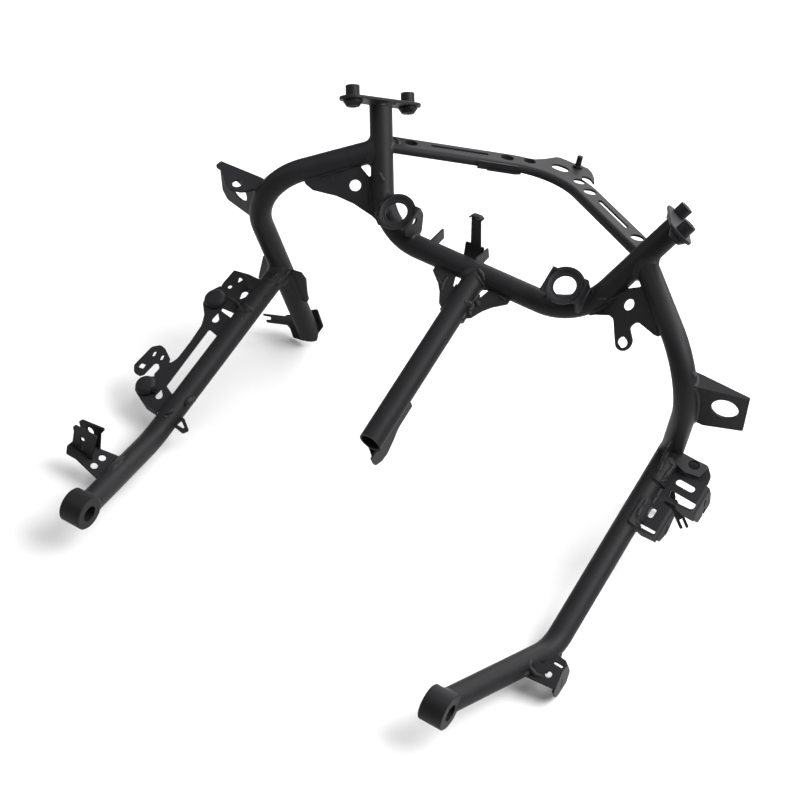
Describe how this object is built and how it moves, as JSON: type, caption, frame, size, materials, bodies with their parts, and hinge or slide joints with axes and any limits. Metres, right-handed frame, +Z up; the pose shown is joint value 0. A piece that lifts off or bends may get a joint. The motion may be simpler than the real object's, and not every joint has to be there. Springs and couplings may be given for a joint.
{
  "type": "motorcycle fairing stay",
  "caption": "Welded tube frame that carries a motorcycle's fairing, lamp and dash, with two swept arms, a raised rear plate and pressed brackets.",
  "frame": {"origin": "bottom centre of the box round the whole stay, at floor level", "axes": "X across the width, +Y towards the rear cross plate, away from the two arm bushes, +Z up"},
  "size_m": [0.6648, 0.6076, 0.3779],
  "materials": {
    "black_paint": "satin black"
  },
  "bodies": {
    "root": {"centre_strut_hook": "black_paint", "centre_strut_saddle": "black_paint", "centre_strut_tube": "black_paint", "cross_plate_front_tab": "black_paint", "cross_plate_hook": "black_paint", "cross_plate_stud": "black_paint", "harness_bracket": "black_paint", "left_arch_tube": "black_paint", "left_arch_web": "black_paint", "left_arm_bush": "black_paint", "left_arm_tube": "black_paint", "left_clamp_bracket": "black_paint", "left_foot_plate": "black_paint", "left_fork_clip": "black_paint", "left_gusset": "black_paint", "left_hook_tab": "black_paint", "left_inner_boss": "black_paint", "left_inner_nut": "black_paint", "left_loop_bracket": "black_paint", "left_lower_cup": "black_paint", "left_outer_boss": "black_paint", "left_outer_nut": "black_paint", "left_post_plate": "black_paint", "left_rail_bracket": "black_paint", "left_rail_pin": "black_paint", "left_rear_bracket": "black_paint", "left_ring_bracket": "black_paint", "left_upper_boss": "black_paint", "left_upper_bracket": "black_paint", "left_upper_cup": "black_paint", "left_wing_bracket": "black_paint", "left_wing_lug": "black_paint", "main_hoop": "black_paint", "rear_cross_plate": "black_paint", "right_arch_tube": "black_paint", "right_arm_bush": "black_paint", "right_arm_tube": "black_paint", "right_box_bracket": "black_paint", "right_foot_plate": "black_paint", "right_fork_clip": "black_paint", "right_gusset": "black_paint", "right_inner_boss": "black_paint", "right_inner_nut": "black_paint", "right_lower_bracket": "black_paint", "right_outer_boss": "black_paint", "right_outer_nut": "black_paint", "right_post_plate": "black_paint", "right_ring_bracket": "black_paint", "right_slotted_bracket": "black_paint", "right_tab_boss": "black_paint", "right_tab_plate": "black_paint", "right_wing_bracket": "black_paint"}
  },
  "joints": []
}
